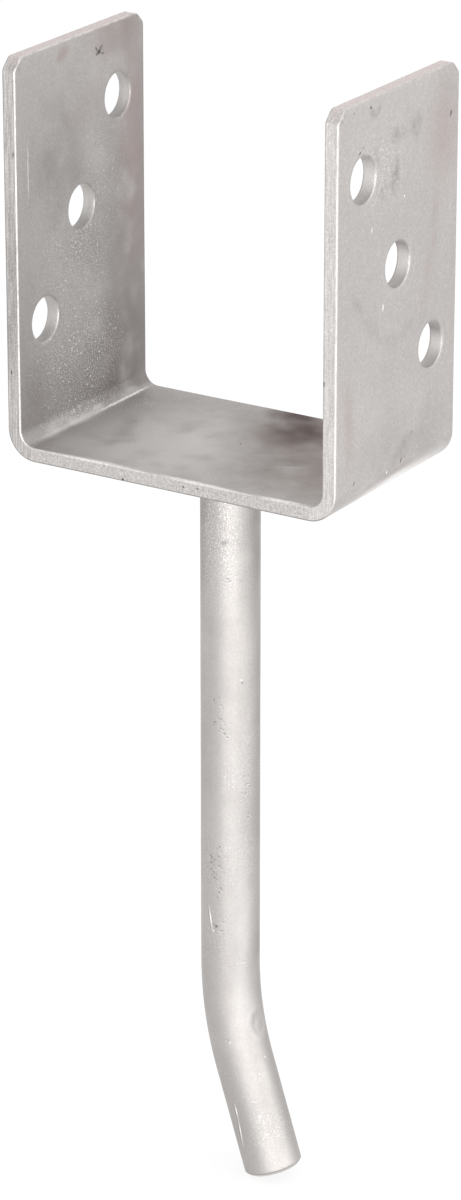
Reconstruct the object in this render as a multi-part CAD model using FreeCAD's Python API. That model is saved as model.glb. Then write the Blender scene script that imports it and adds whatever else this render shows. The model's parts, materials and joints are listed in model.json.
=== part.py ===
import FreeCAD, Part
import math
import os

# Timber post base, in millimetres.
#
# One strip of stainless sheet is folded into a U that holds the foot of a square
# timber post. A round bar is welded under the middle of its base. The bar goes
# into wet concrete, and its cranked tail keeps it from pulling out or turning.
#
# Frame: the origin is the middle of the seat, which is the face that the post
# stands on. +Z is up, X runs from cheek to cheek, and Y runs along the strip's width.

# --- the folded bracket -------------------------------------------------------
POST_WIDTH = 91.0        # clear width between the cheeks
SHEET = 4.0              # thickness of the sheet
STRIP_WIDTH = 60.0       # width of the strip, along Y
CHEEK_RISE = 103.0       # height of each cheek above the seat
INNER_BEND = 4.0         # inside radius of the two folds
CORNER_CUT = 3.0         # 45 degree cut across each free corner of a cheek
CORNER_BLEND = 2.0       # radius that softens both ends of each corner cut
EDGE_ROUND = 0.6         # rounding of every sheared edge, from tumbling

# --- the bolt holes in the cheeks ---------------------------------------------
HOLE_RADIUS = 6.0        # for M10 bolts or coach screws
HOLE_RIM_ROUND = 0.5     # rounding of each hole's two rims
TOP_HOLE_DROP = 20.0     # from the cheek's top edge to the upper hole's centre
HOLE_PITCH = 26.0        # height from one hole to the next
HOLE_SIDE_MARGIN = 12.5  # from the strip's side edge to an outer hole's centre

# --- the anchor bar -----------------------------------------------------------
BAR_RADIUS = 8.0
BAR_SHANK = 144.0        # straight length below the bracket
BAR_BEND_RADIUS = 100.0  # of the bend's centre line
BAR_BEND_ANGLE = 17.5    # degrees, towards +X
BAR_TAIL = 31.5          # straight length below the bend
BAR_END_CHAMFER = 0.9    # around the bar's lower end

# --- the weld -----------------------------------------------------------------
WELD_LEG = 4.0           # leg of the fillet between the bar and the bracket
WELD_CROWN = 0.4         # how far the fillet's face stands out from a flat one

# --- places worked out from the sizes above -----------------------------------
OUTER_HALF = POST_WIDTH / 2 + SHEET
HALF_STRIP = STRIP_WIDTH / 2
UNDERSIDE_Z = -SHEET
OUTER_BEND = INNER_BEND + SHEET
HOLE_OFFSET = HALF_STRIP - HOLE_SIDE_MARGIN
UPPER_HOLE_Z = CHEEK_RISE - TOP_HOLE_DROP

X_AXIS = FreeCAD.Vector(1, 0, 0)
Y_AXIS = FreeCAD.Vector(0, 1, 0)
Z_AXIS = FreeCAD.Vector(0, 0, 1)
TOUCH = 1e-4             # points nearer than this are the same point


def strip_end(x, z):
    """A point of the U's profile, at the front side of the strip."""
    return FreeCAD.Vector(x, -HALF_STRIP, z)


def fold(centre_x, centre_z, radius, start_degrees, end_degrees):
    """A quarter turn of the profile, about one fold's centre line."""
    points = []
    for degrees in (start_degrees, (start_degrees + end_degrees) / 2, end_degrees):
        turn = math.radians(degrees)
        x = centre_x + radius * math.cos(turn)
        z = centre_z + radius * math.sin(turn)
        points.append(strip_end(x, z))
    return Part.Arc(*points).toShape()


def straight(x_from, z_from, x_to, z_to):
    return Part.LineSegment(strip_end(x_from, z_from), strip_end(x_to, z_to)).toShape()


def folded_strip():
    """The U with square edges: its profile, drawn once and carried along Y."""
    inner_half = POST_WIDTH / 2
    fold_x = inner_half - INNER_BEND
    fold_z = INNER_BEND
    edges = [
        straight(-OUTER_HALF, CHEEK_RISE, -OUTER_HALF, fold_z),
        fold(-fold_x, fold_z, OUTER_BEND, 180, 270),
        straight(-fold_x, UNDERSIDE_Z, fold_x, UNDERSIDE_Z),
        fold(fold_x, fold_z, OUTER_BEND, 270, 360),
        straight(OUTER_HALF, fold_z, OUTER_HALF, CHEEK_RISE),
        straight(OUTER_HALF, CHEEK_RISE, inner_half, CHEEK_RISE),
        straight(inner_half, CHEEK_RISE, inner_half, fold_z),
        fold(fold_x, fold_z, INNER_BEND, 360, 270),
        straight(fold_x, 0, -fold_x, 0),
        fold(-fold_x, fold_z, INNER_BEND, 270, 180),
        straight(-inner_half, fold_z, -inner_half, CHEEK_RISE),
        straight(-inner_half, CHEEK_RISE, -OUTER_HALF, CHEEK_RISE),
    ]
    profile = Part.Face(Part.Wire(edges))
    return profile.extrude(Y_AXIS * STRIP_WIDTH)


def edges_across_a_cheek(shape, places):
    """The edges that run through the sheet along X, at the given (y, z) places."""
    found = []
    for edge in shape.Edges:
        box = edge.BoundBox
        if box.YLength > TOUCH or box.ZLength > TOUCH:
            continue
        for y, z in places:
            if abs(box.YMin - y) < TOUCH and abs(box.ZMin - z) < TOUCH:
                found.append(edge)
    return found


def cut_corners(shape):
    """Cut each cheek's two free corners, and soften both ends of each cut."""
    corners = [(side * HALF_STRIP, CHEEK_RISE) for side in (-1, 1)]
    cut = shape.makeChamfer(CORNER_CUT, edges_across_a_cheek(shape, corners))
    ends = []
    for side in (-1, 1):
        ends.append((side * HALF_STRIP, CHEEK_RISE - CORNER_CUT))
        ends.append((side * (HALF_STRIP - CORNER_CUT), CHEEK_RISE))
    return cut.makeFillet(CORNER_BLEND, edges_across_a_cheek(cut, ends))


def hole_places(cheek):
    """(y, z) of a cheek's three holes. cheek is -1 or 1, for the one at -X or +X.

    The holes climb on a diagonal, so that no two split the same grain. The
    diagonals of the two cheeks cross, and only the middle holes face each other.
    """
    places = []
    for row in range(3):
        y = -cheek * HOLE_OFFSET * (1 - row)
        z = UPPER_HOLE_Z - row * HOLE_PITCH
        places.append((y, z))
    return places


def drill(shape):
    """The bolt holes, with rounded rims."""
    drills = []
    for cheek in (-1, 1):
        near = cheek * POST_WIDTH / 2
        for y, z in hole_places(cheek):
            start = FreeCAD.Vector(near - cheek * SHEET, y, z)
            drills.append(Part.makeCylinder(HOLE_RADIUS, 3 * SHEET, start, X_AXIS * cheek))
    drilled = shape.cut(Part.makeCompound(drills))
    rims = []
    for edge in drilled.Edges:
        if isinstance(edge.Curve, Part.Circle) and abs(edge.Curve.Axis.x) > 0.9:
            if abs(edge.Curve.Radius - HOLE_RADIUS) < TOUCH:
                rims.append(edge)
    return drilled.makeFillet(HOLE_RIM_ROUND, rims)


def face_normal(face, point):
    u, v = face.Surface.parameter(point)
    return face.normalAt(u, v)


def sharp_edges(shape):
    """The edges where two faces meet at an angle."""
    found = []
    for edge in shape.Edges:
        faces = shape.ancestorsOfType(edge, Part.Face)
        if len(faces) != 2:
            continue
        middle = edge.valueAt((edge.FirstParameter + edge.LastParameter) / 2)
        turn = face_normal(faces[0], middle).getAngle(face_normal(faces[1], middle))
        if math.degrees(turn) > 30:
            found.append(edge)
    return found


def u_bracket():
    shape = drill(cut_corners(folded_strip()))
    return shape.makeFillet(EDGE_ROUND, sharp_edges(shape))


def anchor_bar():
    """The round bar: a straight shank, one gentle bend and a straight tail."""
    top = FreeCAD.Vector(0, 0, UNDERSIDE_Z)
    shank = Part.makeCylinder(BAR_RADIUS, BAR_SHANK, top, -Z_AXIS)
    bend_start = top - Z_AXIS * BAR_SHANK
    section = Part.Face(Part.Wire(Part.Circle(bend_start, Z_AXIS, BAR_RADIUS).toShape()))
    pivot = bend_start + X_AXIS * BAR_BEND_RADIUS
    bend = section.revolve(pivot, -Y_AXIS, BAR_BEND_ANGLE)
    turn = math.radians(BAR_BEND_ANGLE)
    tail_way = FreeCAD.Vector(math.sin(turn), 0, -math.cos(turn))
    tail_start = pivot - FreeCAD.Vector(math.cos(turn), 0, math.sin(turn)) * BAR_BEND_RADIUS
    tail = Part.makeCylinder(BAR_RADIUS, BAR_TAIL, tail_start, tail_way)
    bar = shank.fuse([bend, tail]).removeSplitter()
    tail_end = tail_start + tail_way * BAR_TAIL
    rim = [edge for edge in bar.Edges if edge.CenterOfMass.distanceToPoint(tail_end) < TOUCH]
    return bar.makeChamfer(BAR_END_CHAMFER, rim)


def weld_bead():
    """The fillet weld right round the bar, under the bracket, slightly crowned."""
    corner = FreeCAD.Vector(BAR_RADIUS, 0, UNDERSIDE_Z)
    on_plate = corner + X_AXIS * WELD_LEG
    on_bar = corner - Z_AXIS * WELD_LEG
    outward = FreeCAD.Vector(1, 0, -1).normalize()
    crown = (on_plate + on_bar) / 2 + outward * WELD_CROWN
    edges = [
        Part.LineSegment(corner, on_plate).toShape(),
        Part.Arc(on_plate, crown, on_bar).toShape(),
        Part.LineSegment(on_bar, corner).toShape(),
    ]
    section = Part.Face(Part.Wire(edges))
    return section.revolve(FreeCAD.Vector(0, 0, 0), Z_AXIS, 360)


def single_solid(name, shape):
    """The one solid of a piece, checked before it is written."""
    solids = shape.Solids
    if len(solids) != 1 or not solids[0].isValid() or solids[0].Volume <= 0:
        raise RuntimeError(f"{name}: expected one sound solid, found {len(solids)}")
    return solids[0]


PIECES = {
    "u_bracket": u_bracket,
    "anchor_bar": anchor_bar,
    "weld_bead": weld_bead,
}

os.makedirs("parts", exist_ok=True)
for name, make in PIECES.items():
    solid = single_solid(name, make())
    solid.exportStep(f"parts/{name}.step")
    print(f"{name}: {solid.Volume / 1000:.2f} cm3")
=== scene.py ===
import json
import math
from typing import NamedTuple

import bmesh
import bpy
import numpy as np
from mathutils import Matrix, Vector
from mathutils.geometry import delaunay_2d_cdt


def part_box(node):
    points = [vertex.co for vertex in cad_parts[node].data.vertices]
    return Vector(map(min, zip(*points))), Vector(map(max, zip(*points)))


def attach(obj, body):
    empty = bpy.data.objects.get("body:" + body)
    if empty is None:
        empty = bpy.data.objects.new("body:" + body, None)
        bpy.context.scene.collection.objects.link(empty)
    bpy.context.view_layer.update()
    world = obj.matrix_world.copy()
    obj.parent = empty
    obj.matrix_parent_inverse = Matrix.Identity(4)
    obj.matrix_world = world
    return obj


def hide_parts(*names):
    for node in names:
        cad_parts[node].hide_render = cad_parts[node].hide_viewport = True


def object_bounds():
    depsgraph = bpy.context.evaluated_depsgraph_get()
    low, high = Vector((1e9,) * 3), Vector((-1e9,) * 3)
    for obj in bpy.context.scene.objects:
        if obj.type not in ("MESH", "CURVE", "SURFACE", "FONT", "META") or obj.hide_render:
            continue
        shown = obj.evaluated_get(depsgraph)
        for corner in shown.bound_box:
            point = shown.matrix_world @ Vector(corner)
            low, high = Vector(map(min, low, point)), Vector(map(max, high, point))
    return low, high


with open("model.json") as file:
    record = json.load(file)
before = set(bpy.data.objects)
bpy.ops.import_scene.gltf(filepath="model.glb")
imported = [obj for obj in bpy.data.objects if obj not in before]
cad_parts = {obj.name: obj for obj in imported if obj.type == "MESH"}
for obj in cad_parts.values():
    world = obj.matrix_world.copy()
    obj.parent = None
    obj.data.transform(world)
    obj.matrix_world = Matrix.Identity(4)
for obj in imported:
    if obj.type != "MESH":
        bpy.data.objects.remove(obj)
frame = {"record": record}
cad_low, cad_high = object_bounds()

# Timber post base: a folded stainless strip, a bar welded under it, and the weld.
# Shapes are worked out in millimetres and stored in metres.
MM = 0.001
SAME_POINT = 1e-7   # points nearer than this are merged, in metres
rng = np.random.default_rng(11)


def node_box(node):
    """A CAD node's lowest and highest corners, in millimetres."""
    return [np.array(corner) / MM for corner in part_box(node)]


# --- sizes ---
bracket_low, bracket_high = node_box("u_bracket")
bar_low = node_box("anchor_bar")[0]
weld_high = node_box("weld_bead")[1]
SHEET = -bracket_low[2]
OUTER_HALF, HALF_STRIP, CHEEK_TOP = bracket_high
INNER_BEND = 4.0
CORNER_CUT = 3.0
CORNER_BLEND = 2.0
EDGE_WEAR = 0.5     # rounding of the sheared edges
RIM_WEAR = 0.5      # rounding of the holes' rims
BAR_RADIUS = -bar_low[0]
BAR_SHANK = 144.0
BAR_BEND_RADIUS = 100.0
BAR_BEND_ANGLE = math.radians(17.5)
BAR_TAIL = 31.5
BAR_END_CHAMFER = 0.9

# the strip before it is folded: half of its flat middle, one fold, and half of it all
FLAT_HALF = OUTER_HALF - SHEET - INNER_BEND
FOLD_LENGTH = (INNER_BEND + SHEET / 2) * math.pi / 2
BLANK_HALF = FLAT_HALF + FOLD_LENGTH + CHEEK_TOP - INNER_BEND


# --- small helpers ---
def smooth(low, high, value):
    """0 below low, 1 above high, and an S-curve between."""
    t = np.clip((value - low) / (high - low), 0, 1)
    return t * t * (3 - 2 * t)


def circle(count, turned=0.0):
    """Angles of points evenly round a circle, and their directions from its middle."""
    angle = np.linspace(0, 2 * math.pi, count, endpoint=False) + turned
    return angle, np.stack([np.cos(angle), np.sin(angle)], 1)


class Grain:
    """Smooth random bumps on a plane, from -1 to 1, with features about cell across."""

    def __init__(self, cell, cells=512):
        self.cell = cell
        self.cells = cells
        self.values = rng.uniform(-1, 1, (cells, cells))

    def __call__(self, a, b):
        a = np.asarray(a) / self.cell
        b = np.asarray(b) / self.cell
        row = np.floor(a).astype(int)
        column = np.floor(b).astype(int)
        down = smooth(0, 1, a - row)
        across = smooth(0, 1, b - column)
        left, right = column % self.cells, (column + 1) % self.cells
        near, far = (
            self.values[line, left] * (1 - across) + self.values[line, right] * across
            for line in (row % self.cells, (row + 1) % self.cells)
        )
        return near * (1 - down) + far * down


class Shell:
    """The points, faces and finishes of one mesh, gathered row by row. A finish gives
    the material a number from 0 to 1 at each point."""

    def __init__(self, *finishes):
        self.points = []
        self.faces = []
        self.finishes = {name: [] for name in finishes}
        self.count = 0

    def row(self, points, **values):
        """Add points. values holds their finishes, and one that isn't given is 0."""
        self.points.append(points)
        self.count += len(points)
        for name, gathered in self.finishes.items():
            gathered.append(np.zeros(len(points)) + values.get(name, 0))

    def join(self, rows, columns):
        """Quads between the last rows that were added, each of which closes on itself."""
        first = self.count - rows * columns
        for a in range(first, self.count - columns, columns):
            b = a + columns
            for c in range(columns):
                d = (c + 1) % columns
                self.faces.append((a + c, a + d, b + d, b + c))

    def mesh(self, name):
        """A mesh of it all in metres, with its finishes as attributes."""
        made = bpy.data.meshes.new(name)
        made.from_pydata((np.concatenate(self.points) * MM).tolist(), [], self.faces)
        for finish, values in self.finishes.items():
            layer = made.attributes.new(finish, "FLOAT", "POINT")
            layer.data.foreach_set("value", np.concatenate(values).astype(np.float32))
        work = bmesh.new()
        work.from_mesh(made)
        bmesh.ops.remove_doubles(work, verts=work.verts, dist=SAME_POINT)
        bmesh.ops.recalc_face_normals(work, faces=work.faces)
        work.to_mesh(made)
        work.free()
        made.shade_smooth()
        return made


def placed(name, data):
    """A new object in the scene."""
    made = bpy.data.objects.new(name, data)
    bpy.context.scene.collection.objects.link(made)
    return made


def piece(name, shell, node):
    """A mesh piece that stands for a CAD node."""
    made = placed(name, shell.mesh(name))
    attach(made, "root")
    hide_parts(node)
    return made


# --- the folded bracket ---
OUTLINE_STEP = 0.5      # between points along the strip's straight edges
CORNER_STEPS = 5        # of each blended corner
ROUNDING_STEPS = 4      # of each rounding
EDGE_ROWS = 8           # down a sheared face, between its roundings
BORE_ROWS = 7           # down a bore, between its roundings
HOLE_POINTS = 72        # round a bore
SKIN_LAP = 0.25         # flat part of the skin beside each rounding
SEAT_COLUMNS, FOLD_COLUMNS, CHEEK_COLUMNS = 33, 18, 79   # of the skins' grid, on one half
STRIP_ROWS = 48         # of the skins' grid, across the strip
GRID_GAP = 0.5          # from the sheared edge's band to the grid
HOLE_CLEARING = 3.5     # from a hole to the grid
# Rings of points round each hole: (how far outside it, how many points).
HOLE_RINGS = [(1.15, 72), (1.6, 64), (2.0, 64), (2.3, 64), (2.6, 64), (3.1, 56)]

SKIN_SINK, SKIN_WAVE = 0.03, 0.03       # how far the skins lie below the flat, and vary
TEAR_DEPTH, TEAR_GRAIN, TEAR_WAVE = 0.08, 0.05, 0.03     # the same, of the sheared edge
BORE_DEPTH, BORE_GRAIN = 0.03, 0.03     # and of the bores
DISH_DEPTH, DISH_REACH = 0.09, 1.6      # the dish round each drilled hole
GROOVE_DEPTH, GROOVE_AWAY, GROOVE_WIDTH = 0.05, 2.3, 0.35    # and the groove round that

# (painted highlight, painted dark line) on the holes' rims, by cheek on the left cheek's inner face and
# the right cheek's outer face, which the camera sees, and elsewhere
LEFT_RIM, RIGHT_RIM, OTHER_RIM = (0.4, 0), (0.1, 0.3), (0, 0.5)


def folded(u, w, depth):
    """Where a point of the flat strip lies once it is folded. u runs along the strip
    from its middle, w across it, and depth is measured from the U's inner face."""
    along = np.abs(u)
    turn = np.clip((along - FLAT_HALF) / FOLD_LENGTH, 0, 1) * math.pi / 2
    radius = INNER_BEND + depth
    x = np.minimum(along, FLAT_HALF) + radius * np.sin(turn)
    z = INNER_BEND - radius * np.cos(turn) + np.maximum(along - FLAT_HALF - FOLD_LENGTH, 0)
    return np.stack([np.sign(u) * x, w + 0 * x, z], 1)


def blank_u(side, height):
    """u of a point at that height on a cheek."""
    return side * (FLAT_HALF + FOLD_LENGTH + height - INNER_BEND)


def drilled_holes():
    """(u, w, radius) of each hole. A mount in the middle stands for two facing holes."""
    found = []
    for mount in frame["record"]["mounts"]:
        if mount["kind"] != "bore":
            continue
        x, y, z = (value / MM for value in mount["pos_m"])
        for side in (-1, 1):
            if x * side >= 0:
                found.append((blank_u(side, z), y, mount["dims"]["r_mm"]))
    return found


HOLES = drilled_holes()


def corner_arc(before, corner, after):
    """The blend of an outline's corner: points, each with its outward normal."""
    arriving = corner - before
    leaving = after - corner
    arriving /= np.linalg.norm(arriving)
    leaving /= np.linalg.norm(leaving)
    start = math.atan2(-arriving[0], arriving[1])
    turn = math.acos(np.clip(arriving @ leaving, -1, 1))
    reach = CORNER_BLEND * math.tan(turn / 2)
    out = np.array([math.cos(start), math.sin(start)])
    centre = corner - arriving * reach - out * CORNER_BLEND
    arc = []
    for k in range(CORNER_STEPS + 1):
        angle = start + turn * k / CORNER_STEPS
        way = np.array([math.cos(angle), math.sin(angle)])
        arc.append((centre + way * CORNER_BLEND, way))
    return arc


def outline():
    """The strip's outline with its cut and softened corners: points and outward normals."""
    long, short, cut = BLANK_HALF, HALF_STRIP, CORNER_CUT
    corners = np.array([
        (long - cut, -short), (long, -short + cut), (long, short - cut), (long - cut, short),
        (cut - long, short), (-long, short - cut), (-long, cut - short), (cut - long, -short),
    ])
    befores, afters = np.roll(corners, 1, axis=0), np.roll(corners, -1, axis=0)
    arcs = [corner_arc(*three) for three in zip(befores, corners, afters)]
    found = []
    for arc, next_arc in zip(arcs, arcs[1:] + arcs[:1]):
        found += arc
        start, way = arc[-1]
        end = next_arc[0][0]
        count = max(1, int(round(np.linalg.norm(end - start) / OUTLINE_STEP)))
        found += [(start + (end - start) * k / count, way) for k in range(1, count)]
    points, normals = zip(*found)
    return np.array(points), np.array(normals)


def band_profile(rounding, rows):
    """(inset, depth) down a sheared edge or a bore, from one skin to the other."""
    quarter = [math.pi / 2 * k / ROUNDING_STEPS for k in range(ROUNDING_STEPS + 1)]
    rim = [(rounding * (1 - math.sin(a)), rounding * (1 - math.cos(a))) for a in quarter]
    flat = [(0, rounding + (SHEET - 2 * rounding) * k / rows) for k in range(1, rows)]
    far = [(inset, SHEET - depth) for inset, depth in reversed(rim)]
    lap = rounding + SKIN_LAP
    return [(lap, 0)] + rim + flat + far + [(lap, SHEET)]


undulation = Grain(24.0)
shear_grain = Grain(0.55)
shear_wave = Grain(3.5)
bore_grain = Grain(0.7)


def away_from(hole, u, w):
    """How far places on the strip are from a hole's middle."""
    return np.hypot(u - hole[0], w - hole[1])


def dip(u, w, outer):
    """How far a skin lies below the flat. outer is 0 for the inner skin and 1 for the
    outer one, whose waves are taken from another part of the grain."""
    sunk = SKIN_SINK + SKIN_WAVE * undulation(u + 500 * outer, w + 300)
    for hole in HOLES:
        away = away_from(hole, u, w)
        radius = hole[2]
        sunk = sunk + DISH_DEPTH * (1 - smooth(radius, radius + DISH_REACH, away))
        sunk = sunk + GROOVE_DEPTH * np.exp(-((away - radius - GROOVE_AWAY) / GROOVE_WIDTH) ** 2)
    return sunk


def skinned(flat, depth):
    """Points of the folded sheet, at one depth, with its skins' slight unevenness."""
    u, w = flat.T
    share = 1 - 2 * depth / SHEET
    return folded(u, w, depth + dip(u, w, 0 if share > 0 else 1) * share)


def from_skin(depth):
    """How far a depth lies from the nearer skin."""
    return min(depth, SHEET - depth)


def rounding_share(depth, rounding):
    """1 half way round the rounding beside either skin, and 0 at its two sides."""
    return math.sin(math.pi * min(1.0, from_skin(depth) / rounding))


def face_share(depth, rounding):
    """1 on the face between the two roundings, and 0 at the skins."""
    return float(smooth(0.2 * rounding, rounding, from_skin(depth)))


def tear_share(depth):
    """How far the roughness of a cut has grown at a depth: none at the skins."""
    return smooth(0.1, 0.8, from_skin(depth))


def add_edge_band(shell):
    """The sheared edge right round the strip. Returns the loop where the skins begin."""
    edge, out = outline()
    travel = np.concatenate([[0], np.cumsum(np.linalg.norm(np.diff(edge, axis=0), axis=1))])
    front = np.clip(np.maximum(-out[:, 1], np.abs(out[:, 0])), 0, 1)
    right = smooth(FLAT_HALF, FLAT_HALF + FOLD_LENGTH, edge[:, 0])
    profile = band_profile(EDGE_WEAR, EDGE_ROWS)
    for inset, depth in profile:
        torn = TEAR_GRAIN * shear_grain(travel, depth) + TEAR_WAVE * shear_wave(travel, depth)
        torn = (torn + TEAR_DEPTH) * tear_share(depth)
        # painted highlight on the rounding that catches the light, the inner one but on the right cheek
        # the outer one, over a little wear on every rounding; a painted dark line on the rest of the
        # roundings
        lit_rounding = 0.6 * right if depth > SHEET / 2 else 1 - 0.6 * right
        rounded = rounding_share(depth, EDGE_WEAR)
        shell.row(
            skinned(edge - out * (inset + torn)[:, None], depth),
            worn=rounded * (0.15 + 0.1 * front + 0.55 * front * lit_rounding),
            dull=rounded * (1 - front * np.minimum(1, 1.6 * lit_rounding)),
            sheared=face_share(depth, EDGE_WEAR),
        )
    shell.join(len(profile), len(edge))
    return edge - out * profile[0][0]


def add_bore(shell, hole):
    """A drilled hole's wall and rims. Returns the loop where the skins begin."""
    hole_u, hole_w, radius = hole
    centre = np.array([hole_u, hole_w])
    angle, ring = circle(HOLE_POINTS)
    on_right = hole_u > 0
    low = -ring[:, 0] * np.sign(hole_u)     # 1 at the hole's bottom and -1 at its top
    # painted light on the upper part of the right cheek's bores, and painted shade on the lower part of
    # every bore
    bore_light = 0.6 * smooth(0.2, 1.0, -low) if on_right else 0
    bore_shade = 0.5 * smooth(0.4, 1.0, low)
    profile = band_profile(RIM_WEAR, BORE_ROWS)
    for inset, depth in profile:
        rough = BORE_GRAIN * bore_grain(angle * radius + hole_u, depth * 0.4) + BORE_DEPTH
        rough = rough * tear_share(depth)
        shown = (depth - SHEET / 2) * hole_u > 0
        rim_highlight, rim_dark_edge = OTHER_RIM if not shown else RIGHT_RIM if on_right else LEFT_RIM
        rim, bore = rounding_share(depth, RIM_WEAR), face_share(depth, RIM_WEAR)
        shell.row(
            skinned(centre + ring * (radius + inset + rough)[:, None], depth),
            worn=rim_highlight * rim + bore_light * bore,
            dull=rim_dark_edge * rim + bore_shade * bore,
            bored=bore,
        )
    shell.join(len(profile), len(angle))
    return centre + ring * (radius + profile[0][0])


def skin_grid():
    """Points of a skin in rows and columns, clear of its edge and its holes."""
    fold_end = FLAT_HALF + FOLD_LENGTH
    half_u = np.concatenate([
        np.linspace(0, FLAT_HALF, SEAT_COLUMNS + 1),
        np.linspace(FLAT_HALF, fold_end, FOLD_COLUMNS + 1)[1:],
        np.linspace(fold_end, BLANK_HALF, CHEEK_COLUMNS + 1)[1:],
    ])
    all_u = np.concatenate([-half_u[:0:-1], half_u])
    all_w = np.linspace(-HALF_STRIP, HALF_STRIP, STRIP_ROWS + 1)
    grid = np.array([(u, w) for u in all_u for w in all_w])
    along, across = np.abs(grid).T
    margin = EDGE_WEAR + SKIN_LAP + GRID_GAP
    inside = (across < HALF_STRIP - margin) & (along < BLANK_HALF - margin)
    inside &= along + across < BLANK_HALF + HALF_STRIP - CORNER_CUT - margin * 1.5
    for hole in HOLES:
        inside &= away_from(hole, *grid.T) > hole[2] + HOLE_CLEARING
    return grid[inside]


def hole_rings():
    """Rings of points round the holes, each turned a little, so that few line up."""
    rings = []
    for hole_u, hole_w, radius in HOLES:
        for extra, count in HOLE_RINGS:
            _, ring = circle(count, turned=extra)
            rings.append(np.array([hole_u, hole_w]) + ring * (radius + extra))
    return rings


def flat_skin(loops):
    """A skin's points on the flat strip, and the triangles between the given loops."""
    flat = np.concatenate(loops + hole_rings() + [skin_grid()])
    edges = []
    first = 0
    for loop in loops:
        count = len(loop)
        edges += [(first + k, first + (k + 1) % count) for k in range(count)]
        first += count
    found = delaunay_2d_cdt([Vector(p) for p in flat], edges, [], 0, 1e-6)
    corners = np.array([tuple(v) for v in found[0]])
    triangles = []
    for triangle in found[2]:       # all but those that fill the holes
        middle = corners[list(triangle)].mean(0)
        if all(away_from(hole, *middle) > hole[2] + RIM_WEAR + SKIN_LAP - 0.01 for hole in HOLES):
            triangles.append(tuple(triangle))
    return corners, triangles


def bracket_shell():
    """The whole folded sheet: its sheared edge, its bores and its two skins."""
    shell = Shell("worn", "dull", "sheared", "bored")
    loops = [add_edge_band(shell)] + [add_bore(shell, hole) for hole in HOLES]
    corners, triangles = flat_skin(loops)
    for depth in (0.0, SHEET):
        first = shell.count
        shell.row(skinned(corners, depth))
        shell.faces += [tuple(first + i for i in triangle) for triangle in triangles]
    return shell


bracket = piece("bracket", bracket_shell(), "u_bracket")


# --- the anchor bar ---
BAR_LENGTH = BAR_SHANK + BAR_BEND_RADIUS * BAR_BEND_ANGLE + BAR_TAIL
BAR_SINK, BAR_WAVE, BAR_GRAIN = 0.03, 0.02, 0.008   # how far its skin lies in, and varies
BAR_STEP, BAR_STEP_LEAST = 0.75, 0.115      # between rings of points, and at the marks
SCRATCH_STEP = 0.2
DENT_LIP = 0.15         # the raised lip round a dent, as a share of its depth
CLEAN_WIDTH, SHADED_WIDTH = 0.34, 0.30      # of a scratch's bright cut, and its shadow
# Degrees round the bar: (from, to, step), finest where the marks are.
BAR_SPANS = [(-132, -112, 2.0), (-112, -90, 1.0), (-90, 24, 2.0), (24, 228, 4.0)]
# The chamfered end: how far down and how far in, from the end of the straight side.
BAR_END = [
    (-0.22, 0.0), (-0.08, 0.03), (0.06, 0.11), (0.45, 0.46), (0.84, 0.85), (0.90, 0.98), (0.90, 1.25),
]
END_TRIM = 0.02         # from the bar's end face to the CAD's
END_RINGS = (2.5, 4.0, 6.0)     # of points on the end face, by how far in they are
# Dents: (s, degrees round the bar, half length, half width, depth), in millimetres.
DENTS = [
    (163.0, -3, 4.8, 3.4, 0.28),
    (111.2, -100, 0.9, 0.4, 0.10),
    (115.6, -94, 0.45, 0.45, 0.12),
    (120.6, -76, 0.35, 0.35, 0.10),
    (122.9, -84, 0.40, 0.30, 0.10),
    (131.7, -87, 0.45, 0.35, 0.12),
    (142.0, -31, 0.4, 0.8, 0.05),
    (183.9, -57, 0.6, 0.6, 0.05),
    (65.4, -92, 0.35, 0.35, 0.08),
    (75.9, -64, 0.35, 0.30, 0.08),
    (107.8, -80, 0.40, 0.35, 0.10),
    (165.5, -79, 0.4, 0.3, 0.08),
]
# Scratches: (s, degrees at one end, s, degrees at the other, half width, depth).
SCRATCHES = [
    (126.0, -105, 132.8, -96, 0.34, 0.16),
    (184.4, -100, 188.4, -101, 0.30, 0.13),
    (188.4, -101, 196.5, -109, 0.30, 0.13),
]
bar_undulation = Grain(9.0)
bar_grain = Grain(0.8)


def bar_point(s, angle, radius):
    """A point at s along the bar from the bracket, at that angle from +X towards +Y."""
    turn = np.clip((s - BAR_SHANK) / BAR_BEND_RADIUS, 0, BAR_BEND_ANGLE)
    rest = np.maximum(s - BAR_SHANK - BAR_BEND_RADIUS * BAR_BEND_ANGLE, 0)
    x = BAR_BEND_RADIUS * (1 - np.cos(turn)) + rest * np.sin(turn)
    z = -SHEET - np.minimum(s, BAR_SHANK) - BAR_BEND_RADIUS * np.sin(turn) - rest * np.cos(turn)
    across, side = radius * np.cos(angle), radius * np.sin(angle)
    return np.stack([x + across * np.cos(turn), side + 0 * x, z + across * np.sin(turn)], 1)


def scratches_at(s, degrees, aside=0.0):
    """Each scratch, the distance to it in millimetres, and how far it has tapered off.
    aside shifts the scratches round the bar."""
    round_bar = np.radians((degrees + 360) % 360 - 360) * BAR_RADIUS
    found = []
    for scratch in SCRATCHES:
        s_from, degrees_from, s_to, degrees_to = scratch[:4]
        start = math.radians(degrees_from) * BAR_RADIUS + aside
        long = s_to - s_from
        wide = math.radians(degrees_to) * BAR_RADIUS + aside - start
        along = ((s - s_from) * long + (round_bar - start) * wide) / (long ** 2 + wide ** 2)
        along = np.clip(along, 0, 1)
        away = np.hypot(s - s_from - along * long, round_bar - start - along * wide)
        found.append((scratch, away, np.sin(math.pi * np.clip(along, 0.12, 0.88))))
    return found


def scratch_share(s, degrees, aside, width):
    """1 along the scratches, fading out over width."""
    share = 0 * s
    for _, away, taper in scratches_at(s, degrees, aside):
        share = np.maximum(share, taper * (1 - smooth(0.3, 1.0, away / width)))
    return share


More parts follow.
